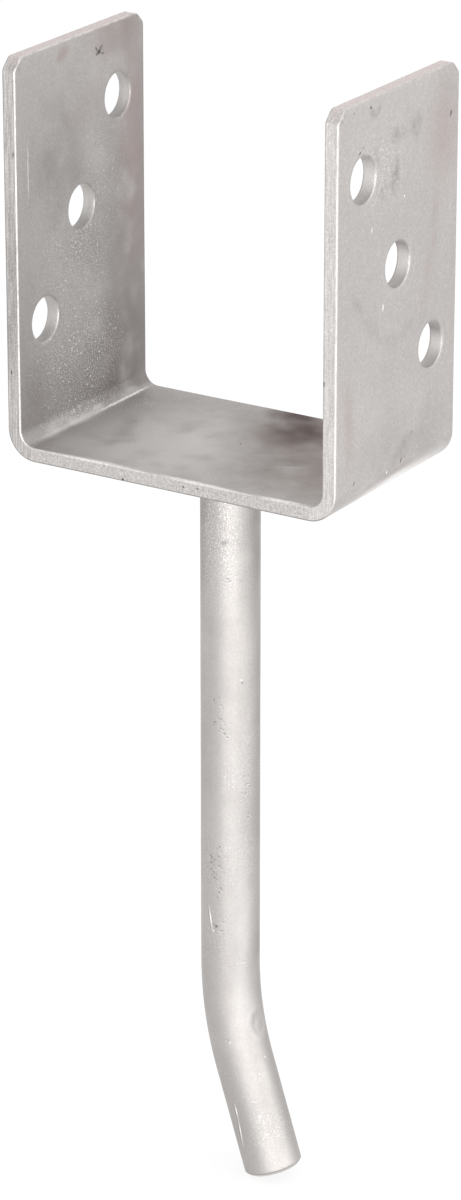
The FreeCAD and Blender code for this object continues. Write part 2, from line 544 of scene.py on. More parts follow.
def bar_radius(s, angle):
    """The bar's radius with its dents, scratches and slight unevenness."""
    degrees = np.degrees(angle)
    round_bar = angle * BAR_RADIUS
    r = BAR_RADIUS - BAR_SINK
    r = r + BAR_WAVE * bar_undulation(s, round_bar + 80) + BAR_GRAIN * bar_grain(s, round_bar)
    for at, where, half_length, half_width, depth in DENTS:
        across = np.radians((degrees - where + 180) % 360 - 180) * BAR_RADIUS
        away = np.hypot((s - at) / half_length, across / half_width)
        lip = DENT_LIP * depth * np.exp(-((away - 1.15) / 0.15) ** 2)
        r = r - depth * (1 - smooth(0.45, 1.0, away)) + lip
    for (*_, half_width, depth), away, taper in scratches_at(s, degrees):
        r = r - depth * taper * (1 - smooth(0.2, 1.0, away / half_width))
    return r


def bar_places():
    """Where along the bar its rings of points are: closer together where it is marked."""
    places = [np.arange(0.0, BAR_LENGTH - BAR_END_CHAMFER, BAR_STEP)]
    for at, _, half_length, _, _ in DENTS:
        reach = half_length * 1.4
        places.append(np.arange(at - reach, at + reach, max(0.12, half_length / 14)))
    for s_from, _, s_to, *_ in SCRATCHES:
        places.append(np.arange(s_from - 0.5, s_to + 0.5, SCRATCH_STEP))
    places = np.unique(np.round(np.concatenate(places), 2))
    kept = [places[0]]
    for place in places[1:]:
        if place - kept[-1] >= BAR_STEP_LEAST:
            kept.append(place)
    return kept


def bar_shell():
    """Rings of points down the bar, its chamfer, and its two ends."""
    shell = Shell("clean", "shaded")
    angles = np.radians(np.concatenate([np.arange(*span) for span in BAR_SPANS]))
    degrees = np.degrees(angles)
    count = len(angles)
    for place in bar_places():
        s = np.full(count, place)
        shell.row(
            bar_point(s, angles, bar_radius(s, angles)),
            clean=scratch_share(s, degrees, 0.0, CLEAN_WIDTH),
            shaded=scratch_share(s, degrees, -CLEAN_WIDTH, SHADED_WIDTH),
        )
    wobble = 0.06 * bar_grain(angles * BAR_RADIUS, 3.0)
    for down, inward in BAR_END:
        s = np.full(count, BAR_LENGTH - BAR_END_CHAMFER + down)
        uneven = wobble * smooth(-0.22, 0.3, down)
        shell.row(
            bar_point(s, angles, BAR_RADIUS - BAR_SINK - inward + uneven),
            clean=0.35 * smooth(0.1, 0.5, down),
            shaded=0.8 * max(0.0, 1 - abs(down + 0.08) / 0.14),
        )
    for inward in END_RINGS:
        s = np.full(count, BAR_LENGTH - END_TRIM)
        shell.row(bar_point(s, angles, BAR_RADIUS - inward))
    shell.join(shell.count // count, count)
    shell.faces.append(tuple(range(count)))
    shell.faces.append(tuple(range(shell.count - count, shell.count)))
    return shell


bar = piece("bar", bar_shell(), "anchor_bar")


# --- the weld under the bracket ---
WELD_POINTS = 240       # round the bead
WELD_STEPS = 18         # across its face
RIPPLES = 21
RIPPLE_BOW = 8.8        # how far each ripple trails behind at its two sides, in radians
CROWN, CROWN_RIPPLE = 0.34, 0.30    # how far the bead swells, less this at each ripple
TOE = 0.16              # and how far it sinks unevenly
WELD_TRIM = 0.05, 0.02  # how far its face stays inside the CAD's, outwards and down
ROOT_LAP = 0.2          # how far it reaches into the bar


def weld_shell():
    """A fillet with the ripples that a hand-held torch leaves as it goes round."""
    shell = Shell()
    lumps = Grain(1.0)
    leg = weld_high[0] - BAR_RADIUS
    around, ring = circle(WELD_POINTS)
    for k in range(WELD_STEPS + 1):
        t = k / WELD_STEPS
        bow = math.sin(math.pi * t)
        phase = around * RIPPLES + RIPPLE_BOW * (t - 0.5) ** 2
        ripple = 0.5 + 0.5 * np.cos(phase) + 0.25 * lumps(around * 6, t * 2)
        crown = CROWN - CROWN_RIPPLE * ripple
        toe = TOE * (1 + lumps(around * 5 + 40, t)) * bow
        swell = bow * (crown * 0.7 - toe * 0.3)
        radius = BAR_RADIUS + leg * t + swell - WELD_TRIM[0]
        down = leg * (1 - t) + swell - WELD_TRIM[1]
        shell.row(np.column_stack([ring * radius[:, None], -SHEET - down]))
    root = ring * (BAR_RADIUS - ROOT_LAP)
    shell.row(np.column_stack([root, np.full(WELD_POINTS, -SHEET - 0.01)]))
    shell.join(shell.count // WELD_POINTS, WELD_POINTS)
    last = shell.count - WELD_POINTS
    for c in range(WELD_POINTS):
        d = (c + 1) % WELD_POINTS
        shell.faces.append((last + c, last + d, d, c))
    return shell


weld = piece("weld", weld_shell(), "weld_bead")


# --- marks on the steel ---
class Mark(NamedTuple):
    """A tinted ellipsoid, in millimetres. strength is the tint's share in its middle,
    soft the outer part of it over which that fades, and tilt is in degrees."""

    centre: tuple
    half: tuple
    strength: float
    soft: float = 1.0
    tilt: tuple = (0, 0, 0)


def bar_mark(s, degrees, half, strength, soft=0.8):
    """A mark on the bar's skin, at s along the bar and that many degrees round it."""
    centre = bar_point(np.array([s]), np.radians([degrees]), BAR_RADIUS)[0]
    return Mark(tuple(centre), half, strength, soft)


# The faces that the marks lie on: the left cheek's inner face, the right cheek's outer
# face, and the strip's front side.
LEFT, RIGHT, FRONT = -(OUTER_HALF - SHEET), OUTER_HALF, -HALF_STRIP

BLOOM_AND_PAINTED_SHADE = [      # dim grey-brown bloom; on the left cheek's inner face it is also painted shade inside the U, and on the right cheek's outer face it darkens towards the bottom
    Mark((LEFT, 25, 14), (3, 27, 54), 0.74),
    Mark((LEFT, 29, 62), (3, 28, 60), 0.54),
    Mark((LEFT, 2, 52), (3, 22, 26), 0.26),
    Mark((LEFT, -22, 10), (3, 9, 14), 0.32),
    Mark((RIGHT, 6, 9), (3, 44, 16), 0.22),
]
LEFT_PAINTED_SHADE = [          # painted shade, darker than the bloom, over the left cheek's inner face, its upper part and its back, and on the seat beside it, where the right cheek shades the inside of the U
    Mark((LEFT, 44, 80), (3, 72, 90), 0.35),
    Mark((LEFT, 17, 8), (3, 33, 44), 0.8),
    Mark((LEFT, 20, 42), (3, 30, 30), 0.58),
    Mark((LEFT, 20, 101), (3, 20, 15), 0.56),
    Mark((LEFT, -8, 73), (3, 22, 26), 0.31, tilt=(-20, 0, 0)),
    Mark((LEFT, 19, 60), (3, 16, 20), 0.42),
    Mark((-38, 24, 0), (18, 18, 3), 0.3),
]
PAINTED_LIGHT = [                # painted light: the seat's left part beside the left cheek and the left fold's inside lighter, and on the right fold's underside a painted reflection of the pale floor
    Mark((-14, -10, 0), (38, 40, 3), 0.84, soft=0.8),
    Mark((-32, -18, 0), (16, 18, 3), 0.7),
    Mark((-43, -4, 0.6), (3, 34, 2), 0.85),
    Mark((47.6, 0, -0.6), (4.6, 48, 4.6), 0.85, soft=0.8),
]
SEAT_BLOOM = [          # brown heat bloom from the weld underneath
    Mark((14, 18, 0), (28, 34, 3), 0.92),
    Mark((36, -4, 0), (42, 34, 3), 0.74),
]
SEAT_STAIN = [          # its darkest part, at the back edge
    Mark((4, 29, 0), (13, 9, 3), 0.95, soft=0.9, tilt=(0, 0, -6)),
    Mark((12, 20, 0), (15, 16, 3), 0.85, tilt=(0, 0, -35)),
]
PINK = [                # faint pink oxide
    Mark((LEFT, 24, 70), (3, 11, 54), 0.52),
    Mark((LEFT, 16, 101), (3, 18, 12), 0.4),
    Mark((LEFT, -8.5, 99.8), (3, 3.2, 3.8), 0.95),
    Mark((LEFT, 4, 84), (3, 16, 8), 0.2, tilt=(20, 0, 0)),
    Mark((RIGHT, 22, 86), (3, 11, 24), 0.42),
    Mark((RIGHT, 17, 58), (3, 4, 26), 0.45, tilt=(-14, 0, 0)),
    Mark((RIGHT, -24, 20), (3, 3.5, 20), 0.35),
]
SMUDGES = [             # grey rubs
    Mark((RIGHT, -2, 80.5), (2, 3.2, 7), 0.7, tilt=(-12, 0, 0)),
    Mark((RIGHT, -1, 91), (2, 7, 3), 0.5, tilt=(-10, 0, 0)),
    Mark((RIGHT, 8.4, 90.4), (2, 4.4, 5.5), 0.5),
    Mark((RIGHT, -12.2, 99.2), (2, 5, 1.8), 0.5, tilt=(14, 0, 0)),
    Mark((RIGHT, -7, 78), (2, 5, 3), 0.4, tilt=(30, 0, 0)),
    Mark((RIGHT, -11, 87), (2, 3, 6), 0.3),
    Mark((RIGHT, -20, 51), (2, 2.6, 9.5), 0.26, tilt=(38, 0, 0)),
    Mark((RIGHT, -12.5, 43), (2, 2.8, 9), 0.26, tilt=(50, 0, 0)),
    Mark((RIGHT, -4, 38), (2, 9, 3.2), 0.26, tilt=(-16, 0, 0)),
    Mark((RIGHT, 4, 38), (2, 8, 3), 0.22, tilt=(22, 0, 0)),
    Mark((RIGHT, 3, 7), (2, 10, 3), 0.3, tilt=(24, 0, 0)),
    Mark((LEFT, -16, 72), (2, 3, 9), 0.25),
    Mark((LEFT, 8.6, 97.5), (2, 2.6, 2), 0.45, soft=0.9),
]
SPECKS = [              # dark pits and flecks
    Mark((LEFT, 8.6, 96.6), (0.8, 1.3, 0.9), 0.95, soft=0.8, tilt=(30, 0, 0)),
    Mark((LEFT, 7.3, 97.6), (0.8, 0.4, 1), 0.8, soft=0.8, tilt=(35, 0, 0)),
    Mark((LEFT, 10.4, 95.8), (0.8, 0.8, 0.4), 0.8, soft=0.8, tilt=(-25, 0, 0)),
    Mark((LEFT, 9.6, 97.7), (0.8, 0.4, 1.2), 0.8, soft=0.8, tilt=(-40, 0, 0)),
    Mark((LEFT, 9.4, 96), (0.8, 0.3, 0.9), 0.6, soft=0.6, tilt=(50, 0, 0)),
    Mark((LEFT, 7.5, 96), (0.8, 0.9, 0.4), 0.8, soft=0.8, tilt=(-30, 0, 0)),
    Mark((RIGHT, -14.3, 100.6), (0.8, 0.7, 0.6), 0.85, soft=0.7),
    Mark((RIGHT, -22.4, 101), (0.8, 0.3, 0.3), 0.7, soft=0.6),
    Mark((RIGHT, 25.8, 90), (0.8, 0.5, 1.3), 0.9, soft=0.7, tilt=(-14, 0, 0)),
    Mark((RIGHT, -19.4, 90.2), (0.8, 0.3, 0.9), 0.8, soft=0.6, tilt=(-55, 0, 0)),
    Mark((RIGHT, -17.8, 91.2), (0.8, 0.3, 0.8), 0.5, soft=0.6, tilt=(-60, 0, 0)),
    Mark((RIGHT, 2.9, 4), (0.9, 0.35, 1.3), 0.85, soft=0.6, tilt=(-30, 0, 0)),
    Mark((RIGHT, 4.6, 4.4), (0.9, 0.25, 0.6), 0.5, soft=0.6, tilt=(-30, 0, 0)),
    Mark((RIGHT, -20.8, 4.7), (0.9, 0.3, 1), 0.75, soft=0.6, tilt=(-40, 0, 0)),
    Mark((RIGHT, 8.4, 9.9), (0.8, 0.3, 0.5), 0.5, soft=0.6),
    Mark((RIGHT, -3.2, 9.1), (0.8, 0.35, 0.3), 0.45, soft=0.6),
    Mark((2.3, 1.4, 0), (0.45, 0.45, 0.8), 0.85, soft=0.6),
    Mark((-14, FRONT, -3.4), (0.5, 0.8, 0.5), 0.95, soft=0.6),
    Mark((4.6, FRONT, -1.9), (0.5, 0.8, 0.35), 0.8, soft=0.6, tilt=(0, 30, 0)),
    Mark((8.7, FRONT, -1.6), (0.5, 0.8, 0.35), 0.7, soft=0.6),
    Mark((-48.2, FRONT, 19.5), (0.4, 0.8, 0.7), 0.75, soft=0.6),
    Mark((45.9, FRONT, 33), (0.5, 0.9, 1), 0.6, soft=0.6),
    Mark((-46.5, FRONT, 78), (0.4, 0.8, 1.1), 0.5, soft=0.6),
]
BRIGHT_CUTS_AND_HIGHLIGHTS = [              # scratches and dings that have cut to clean metal, and painted highlights along the folds and the seat's front edge
    Mark((LEFT, -24.6, 72.5), (0.7, 0.22, 10), 0.75, soft=0.7),
    Mark((RIGHT, -13.2, 69.2), (0.7, 0.3, 1.2), 0.9, soft=0.7),
    Mark((RIGHT, -7.4, 47.5), (0.7, 0.28, 1.5), 0.9, soft=0.7),
    Mark((RIGHT, 2.7, 74), (0.7, 0.35, 0.5), 0.7, soft=0.7),
    Mark((RIGHT, -4, 2.7), (0.9, 0.5, 0.6), 0.95, soft=0.7),
    Mark((RIGHT, -1.5, 46), (0.7, 0.3, 0.3), 0.5, soft=0.7),
    Mark((22.8, -7.3, 0), (4.5, 0.25, 0.7), 0.3, soft=0.8, tilt=(0, 0, 28)),
    # painted highlight along the inside of the left fold
    Mark((-42.9, 14, 0.3), (0.6, 17, 0.5), 0.85, soft=0.6),
    Mark((-43.2, -12, 0.5), (1.2, 18, 1), 0.4, soft=0.9),
    # painted reflection of the pale floor along the right fold's underside
    Mark((47.6, 2, -0.6), (3.4, 32, 3.6), 0.7),
    Mark((46.3, 0, -2.5), (0.8, 31, 0.8), 0.55, soft=0.6),
    # painted highlight along the rounding of the seat's front edge
    Mark((-22, -29.5, 0), (18, 0.9, 0.9), 0.85, soft=0.9, tilt=(0, 0, 1)),
    Mark((8, -29.6, 0), (18, 0.8, 0.9), 0.75, soft=0.9, tilt=(0, 0, -1)),
    Mark((34, -29.5, 0), (11, 0.8, 0.9), 0.8, soft=0.9, tilt=(0, 0, 1)),
]
BLASTED = [             # where the skin is granular, with painted glints
    Mark((LEFT, -4, 14), (3, 30, 26), 1, soft=0.7),
    Mark((LEFT, -3, 42), (3, 25, 30), 0.75),
    Mark((LEFT, 10, 64), (3, 19, 24), 0.4),
    Mark((RIGHT, -6, 84), (3, 17, 17), 0.5),
    Mark((-40, 8, 2), (9, 24, 4), 0.8, soft=0.8),
    Mark((-24, 0, 0), (12, 12, 2), 0.4),
]
TOP_FACES = [           # faint pink oxide along the cheeks' top faces
    Mark((x, 0, CHEEK_TOP), (5, 44, 3.6), 0.75, soft=0.5) for x in (-47.5, 47.5)
]
EDGE_SHADE = [          # the left cheek's sheared face is duller half way up
    Mark((-47.5, FRONT, 42), (5, 3, 44), 0.5, soft=0.9),
]
BAR_PAINTED_SHADE = [            # painted shade: darker on its side towards +X, at its top under the bracket, and on its tail
    Mark((8, 3, -84), (8, 10, 110), 0.65),
    Mark((16, 0, -186), (20, 22, 40), 0.48, soft=0.8),
    Mark((8, -1, -20), (6, 8, 54), 1),
    Mark((-6, -6, -14), (5.5, 5.5, 42), 0.8),
    Mark((8.2, 3, -143), (4, 7, 36), 0.72),
]
BAR_PAINTED_HIGHLIGHT = [           # and a painted highlight: a brighter strip above the bend
    Mark((6.6, -4.6, -143), (4, 4, 36), 0.45),
]
PITTED = [              # patches of tiny pits on the bar
    bar_mark(72, -80, (4.5, 4.5, 12), 0.7),
    bar_mark(115, -92, (4.5, 4.5, 11), 1),
    bar_mark(131, -84, (3, 3, 5), 1),
    bar_mark(95, -20, (4, 4, 14), 0.6),
    bar_mark(30, -45, (6, 6, 14), 0.5),
]
BAR_PITS = [            # the hollows of its small dents, and other dark points
    bar_mark(at, where, (0.9 * half_width, 0.9 * half_width, 0.9 * half_length), 0.7, soft=0.7)
    for at, where, half_length, half_width, depth in DENTS if depth > 0.06 and half_length < 2
] + [
    bar_mark(131.4, -87, (0.75, 0.75, 0.55), 0.85),
    bar_mark(119.9, -77, (0.5, 0.5, 0.35), 0.6),
    bar_mark(121.1, -80, (0.35, 0.35, 0.5), 0.5),
    bar_mark(115, -99, (0.4, 0.4, 0.4), 0.6),
    bar_mark(20.7, -69, (1.5, 1.5, 1.2), 0.38, soft=0.9),
    bar_mark(60.4, -35, (0.4, 0.4, 0.4), 0.6, soft=0.7),
]
BAR_BRIGHT = [          # small dings that have cut to clean metal
    bar_mark(59.6, -37, (0.4, 0.4, 0.4), 0.5),
    bar_mark(173.3, -8, (0.4, 0.4, 0.4), 0.55),
    bar_mark(177.2, -31, (0.4, 0.4, 0.4), 0.5),
    bar_mark(188.6, -54, (0.35, 0.35, 0.6), 0.6),
    bar_mark(166.2, -74, (0.4, 0.4, 0.4), 0.5),
    bar_mark(183.5, -56, (0.3, 0.3, 0.3), 0.5),
    bar_mark(133, -93, (0.4, 0.4, 0.5), 0.8),
]

# Each kind of stain, and the painted shade and painted light, in the order in which they lie over each
# other: (tint, marks).
STAINS_AND_PAINTED_LIGHT = [
    ((0.215, 0.197, 0.192, 1), BLOOM_AND_PAINTED_SHADE),
    ((0.19, 0.172, 0.165, 1), LEFT_PAINTED_SHADE),
    ((0.68, 0.66, 0.652, 1), PAINTED_LIGHT),
    ((0.215, 0.17, 0.152, 1), SEAT_BLOOM),
    ((0.105, 0.076, 0.074, 1), SEAT_STAIN),
    ((0.37, 0.295, 0.283, 1), PINK),
]
# The seat is more matte than the rest: this one is added to the roughness.
MATTE_SEAT = Mark((-10, 0, 0), (46, 48, 4), 0.16, soft=0.6)
# The granular skin on the bar, with its painted glints, is thickest below the bracket.
BAR_TOP = Mark((0, -4, -22), (9, 11, 36), 0.9, soft=0.8)


# --- materials ---
REGION_MARGIN = 1.5     # marks up to this far outside a region still count
NEAR_WARP = (900, 0.0004)       # unevenness of small marks' outlines: scale and reach
FINE_GRAIN = (2600, 3.0, 0.7)   # noise: scale, detail and roughness
GRAIN_TINT = (0.30, 0.285, 0.28, 1)


class Region(NamedTuple):
    """The part of the bracket that one material covers, and how its cut faces look."""

    left: float
    right: float
    top: float
    drawn: float        # share of drawn lines on its sheared faces
    pale: float         # brightness of those lines
    pale_bore: float   # share of the paler tone in its bores


REGIONS = {
    "left_cheek_steel": Region(-OUTER_HALF, -FLAT_HALF, CHEEK_TOP, 0.85, 0.61, 0.2),
    "seat_steel": Region(-FLAT_HALF, FLAT_HALF, 0, 0.2, 0.61, 0.2),
    "right_cheek_steel": Region(FLAT_HALF, OUTER_HALF, CHEEK_TOP, 0.55, 0.74, 0.8),
}


def overlap(middle, half, low, high):
    """Whether a stretch comes within REGION_MARGIN of the one from low to high."""
    return low - REGION_MARGIN < middle + half and middle - half < high + REGION_MARGIN


class Shader:
    """A node material, built one node at a time. Its marks can be held to a region."""

    def __init__(self, name, region=None):
        self.region = region
        self.material = bpy.data.materials.new(name)
        self.material.use_nodes = True
        self.tree = self.material.node_tree
        self.tree.nodes.clear()
        self.out = self.node("OutputMaterial")
        self.place = self.node("TexCoord").outputs["Object"]

    def node(self, kind, *numbered, **named):
        """A new node. Its inputs are given by number, or by name with _ for a space.
        Names in small letters are the node's own settings."""
        made = self.tree.nodes.new("ShaderNode" + kind)
        for name, value in named.items():
            if name.islower():
                setattr(made, name, value)
            else:
                self.put(made, name.replace("_", " "), value)
        for number, value in enumerate(numbered):
            self.put(made, number, value)
        return made

    def put(self, node, socket, value):
        if isinstance(value, bpy.types.NodeSocket):
            self.tree.links.new(value, node.inputs[socket])
        else:
            node.inputs[socket].default_value = value

    def noise(self, scale, detail=2.0, roughness=0.5, place=None, stretch=None):
        """Noise from 0 to 1. scale is features a metre, and stretch is per axis."""
        source = place or self.place
        if stretch:
            source = self.node("Mapping", Vector=source, Scale=stretch).outputs[0]
        node = self.node("TexNoise", Vector=source, Scale=scale, Detail=detail, Roughness=roughness)
        return node.outputs["Fac"]

    def cells(self, scale, place):
        """The distance to the nearest of scattered points, with scale of them a metre."""
        return self.node("TexVoronoi", Vector=place, Scale=scale).outputs["Distance"]

    def attribute(self, name):
        return self.node("Attribute", attribute_name=name).outputs["Fac"]

    def ramp(self, value, low, high, to_low=0.0, to_high=1.0):
        """An S-curve from to_low, where the value is low, to to_high, where it is high."""
        node = self.node("MapRange", value, low, high, to_low, to_high, interpolation_type="SMOOTHSTEP")
        return node.outputs[0]

    def math(self, operation, a, b):
        return self.node("Math", a, b, operation=operation).outputs[0]

    def times(self, a, b):
        return self.math("MULTIPLY", a, b)

    def more(self, a, b):
        return self.math("MAXIMUM", a, b)

    def mix(self, share, a, b):
        node = self.node("Mix", data_type="RGBA", Factor=share)
        self.put(node, 6, a)
        self.put(node, 7, b)
        return node.outputs[2]

    def warped(self, scale, reach):
        """The surface's place, shifted about by reach metres, for uneven outlines."""
        shift = self.node("TexNoise", Vector=self.place, Scale=scale, Detail=2.0).outputs["Color"]
        there = self.node("VectorMath", shift, (2 * reach,) * 3, self.place, operation="MULTIPLY_ADD")
        back = self.node("VectorMath", there.outputs[0], (reach,) * 3, operation="SUBTRACT")
        return back.outputs[0]

    def bump(self, height, strength, distance, normal=None):
        node = self.node("Bump", Height=height, Strength=strength, Distance=distance)
        if normal is not None:
            self.put(node, "Normal", normal)
        return node.outputs[0]

    def spot(self, mark, place):
        """A mark's strength inside it, fading to 0 over its outer part."""
        local = self.node(
            "Mapping",
            vector_type="TEXTURE",
            Vector=place,
            Location=[c * MM for c in mark.centre],
            Rotation=[math.radians(a) for a in mark.tilt],
            Scale=[h * MM for h in mark.half],
        )
        length = self.node("VectorMath", local.outputs[0], operation="LENGTH")
        return self.ramp(length.outputs["Value"], 1 - mark.soft, 1.0, mark.strength, 0.0)

    def reaches(self, mark):
        """Whether a mark comes near the part of the piece that this material covers."""
        if self.region is None:
            return True
        x, _, z = mark.centre
        spread = max(mark.half[1:])
        across = overlap(x, mark.half[0], self.region.left, self.region.right)
        return across and overlap(z, spread, -SHEET, self.region.top)

    def most(self, marks, place):
        """The strongest of the marks at each place, or None where none reaches."""
        share = None
        for mark in filter(self.reaches, marks):
            inside = self.spot(mark, place)
            share = inside if share is None else self.more(share, inside)
        return share

    def marked(self, colour, tint, marks, place):
        """The colour with marks of one tint."""
        share = self.most(marks, place)
        return colour if share is None else self.mix(share, colour, tint)

    def granulated(self, colour, zone, facet_glints, hollows):
        """The colour with painted glints, bright specks where the grain catches the light, and dark
        hollows over zone. Each is given as (low, high, share, tint), where low and high bound the noise
        that draws it."""
        fleck = self.noise(2900, 1.0, 0.5)
        for (low, high, share, tint), ends in ((facet_glints, (0.0, 1.0)), (hollows, (1.0, 0.0))):
            drawn = self.times(self.ramp(fleck, low, high, *ends), zone)
            colour = self.mix(self.times(drawn, share), colour, tint)
        return colour

    def grained(self, grain, zone, depth):
        """The normal of an uneven skin with a fine grain, which is deeper over zone."""
        normal = self.bump(self.noise(420, 2.0, 0.5), 0.35, 0.00006)
        return self.bump(grain, self.math("ADD", self.times(zone, 0.5), depth), 0.00007, normal)

    def finish(self, surface):
        self.put(self.out, "Surface", surface)
        return self.material

    def metal(self, colour, roughness, normal):
        node = self.node(
            "BsdfPrincipled", Metallic=1.0, Base_Color=colour, Roughness=roughness, Normal=normal,
        )
        return self.finish(node.outputs[0])


def plain_steel(s, mottle):
    """Warm grey steel, mottled, faintly streaked and finely speckled."""
    cloud = s.noise(24, 3.0, 0.55)
    streak = s.noise(1.0, 3.0, 0.55, stretch=(520, 520, 14))
    colour = s.mix(s.ramp(cloud, 0.35, 0.65), (0.46, 0.439, 0.429, 1), (0.50, 0.477, 0.464, 1))
    colour = s.mix(s.ramp(mottle, 0.40, 0.75, 0.0, 0.30), colour, (0.415, 0.39, 0.38, 1))
    colour = s.mix(s.ramp(streak, 0.45, 0.75, 0.0, 0.14), colour, (0.55, 0.532, 0.522, 1))
    speckle = s.noise(1300, 4.0, 0.75)
    colour = s.mix(s.ramp(speckle, 0.34, 0.66, 0.30, 0.0), colour, (0.33, 0.313, 0.305, 1))
    return s.mix(s.ramp(speckle, 0.52, 0.70, 0.0, 0.30), colour, (0.60, 0.58, 0.57, 1))


def stains_and_painted_light(s, colour, far):
    """The steel with its bloom, stains and oxide, painted shade and painted light, and then its rubs.
    """
    for tint, marks in STAINS_AND_PAINTED_LIGHT:
        colour = s.marked(colour, tint, marks, far)
    rubs = s.most(SMUDGES, s.warped(260, 0.0022))
    if rubs is None:
        return colour
    patchy = s.ramp(s.noise(500, 4.0, 0.7), 0.38, 0.60, 0.35, 1.0)
    return s.mix(s.times(rubs, patchy), colour, (0.22, 0.212, 0.205, 1))


def sheared_steel(s, near, far):
    """Sheared faces are paler, with short dark tears and drawn lines across them."""
    tears = s.noise(1.0, 2.0, 0.6, place=near, stretch=(1500, 700, 1500))
    colour = s.mix(s.ramp(tears, 0.34, 0.60), (0.43, 0.412, 0.40, 1), (0.59, 0.57, 0.555, 1))
    drawn = s.noise(1.0, 3.0, 0.6, stretch=(2400, 600, 90))
    pale = s.region.pale
    furrow = (pale - 0.22, pale - 0.235, pale - 0.245, 1)
    ridge = (pale, pale - 0.02, pale - 0.032, 1)
    colour = s.mix(s.region.drawn, colour, s.mix(s.ramp(drawn, 0.38, 0.62), furrow, ridge))
    colour = s.marked(colour, (0.25, 0.238, 0.23, 1), EDGE_SHADE, far)
    return s.marked(colour, (0.62, 0.545, 0.53, 1), TOP_FACES, near)


def bored_steel(s):
    """The bores show faint tool lines."""
    lines = s.noise(1.0, 2.0, 0.6, stretch=(900, 120, 120))
    colour = s.mix(s.ramp(lines, 0.3, 0.7), (0.455, 0.437, 0.427, 1), (0.545, 0.527, 0.515, 1))
    return s.mix(s.region.pale_bore, colour, (0.68, 0.66, 0.645, 1))


def bracket_material(name, region):
    s = Shader(name, region)
    near = s.warped(*NEAR_WARP)
    far = s.warped(70, 0.004)
    mottle = s.noise(150, 5.0, 0.62)
    grain = s.noise(*FINE_GRAIN)
    sheared = s.attribute("sheared")
    colour = stains_and_painted_light(s, plain_steel(s, mottle), far)
    colour = s.mix(sheared, colour, sheared_steel(s, near, far))
    colour = s.mix(s.attribute("bored"), colour, bored_steel(s))
    colour = s.mix(s.ramp(grain, 0.32, 0.47, 0.22, 0.0), colour, GRAIN_TINT)
    # painted glints: bright specks and sparkles where the skin is granular
    zone = s.times(sheared, 0.4)
    granular = s.most(BLASTED, far)
    if granular is not None:
        zone = s.more(zone, granular)
    facet_glints, hollows = (0.90, 0.885, 0.87, 1), (0.20, 0.188, 0.182, 1)
    colour = s.granulated(colour, zone, (0.57, 0.66, 0.8, facet_glints), (0.30, 0.42, 0.4, hollows))
    if granular is not None:
        painted_sparks = s.times(granular, s.ramp(s.cells(560, near), 0.10, 0.19, 1.0, 0.0))
        colour = s.mix(s.times(painted_sparks, 0.75), colour, (0.93, 0.92, 0.91, 1))
    # painted highlights and painted dark lines on the roundings, partly wear, and the small marks over
    # everything
    colour = s.mix(s.times(s.attribute("dull"), 0.85), colour, (0.15, 0.138, 0.132, 1))
    patchy = s.ramp(s.noise(420, 4.0, 0.65), 0.36, 0.60, 0.25, 0.85)
    rubbed_and_lit = s.times(s.attribute("worn"), patchy)
    colour = s.mix(rubbed_and_lit, colour, (0.84, 0.82, 0.805, 1))
    colour = s.marked(colour, (0.06, 0.052, 0.05, 1), SPECKS, near)
    colour = s.marked(colour, (0.92, 0.91, 0.90, 1), BRIGHT_CUTS_AND_HIGHLIGHTS, near)
    rough = s.math("ADD", s.ramp(mottle, 0.2, 0.8, 0.52, 0.62), s.times(rubbed_and_lit, -0.10))
    rough = s.math("ADD", rough, s.spot(MATTE_SEAT, s.place))
    return s.metal(colour, rough, s.grained(grain, zone, 0.30))


def bar_material():
    s = Shader("bar_steel")
    near = s.warped(*NEAR_WARP)
    far = s.warped(70, 0.003)
    mottle = s.noise(90, 4.0, 0.6)
    grain = s.noise(*FINE_GRAIN)
    drawn = s.noise(1.0, 3.0, 0.6, stretch=(700, 700, 14))
    colour = s.mix(s.ramp(mottle, 0.32, 0.72), (0.495, 0.474, 0.459, 1), (0.455, 0.433, 0.419, 1))
    colour = s.mix(s.ramp(drawn, 0.45, 0.75, 0.0, 0.20), colour, (0.55, 0.53, 0.52, 1))
    colour = s.mix(s.ramp(grain, 0.32, 0.47, 0.30, 0.0), colour, GRAIN_TINT)
    # painted shade on the bar, then a painted highlight above the bend
    colour = s.marked(colour, (0.30, 0.286, 0.276, 1), BAR_PAINTED_SHADE, far)
    colour = s.marked(colour, (0.66, 0.64, 0.625, 1), BAR_PAINTED_HIGHLIGHT, far)
    scattered = s.ramp(s.noise(60, 2.0, 0.5), 0.46, 0.66, 0.12, 0.34)
    zone = s.more(s.spot(BAR_TOP, near), scattered)
    facet_glints, hollows = (0.85, 0.835, 0.825, 1), (0.28, 0.267, 0.26, 1)
    colour = s.granulated(colour, zone, (0.54, 0.64, 0.68, facet_glints), (0.34, 0.46, 0.35, hollows))
    # patches of tiny pits
    patches = s.times(s.most(PITTED, near), s.ramp(s.noise(300, 2.0, 0.5), 0.45, 0.60))
    pits = s.times(patches, s.ramp(s.cells(850, near), 0.18, 0.42, 1.0, 0.0))
    colour = s.mix(s.times(pits, 0.6), colour, (0.22, 0.21, 0.205, 1))
    # single marks, and the scratches' shadows and bright cuts
    colour = s.marked(colour, (0.10, 0.09, 0.085, 1), BAR_PITS, near)
    colour = s.marked(colour, (0.95, 0.94, 0.93, 1), BAR_BRIGHT, near)
    colour = s.mix(s.times(s.attribute("shaded"), 0.75), colour, (0.16, 0.15, 0.145, 1))
    colour = s.mix(s.attribute("clean"), colour, (0.97, 0.96, 0.95, 1))
    rough = s.ramp(mottle, 0.2, 0.8, 0.50, 0.58)
    normal = s.grained(grain, zone, 0.25)
    return s.metal(colour, rough, s.bump(s.math("SUBTRACT", 1.0, pits), 0.8, 0.00012, normal))


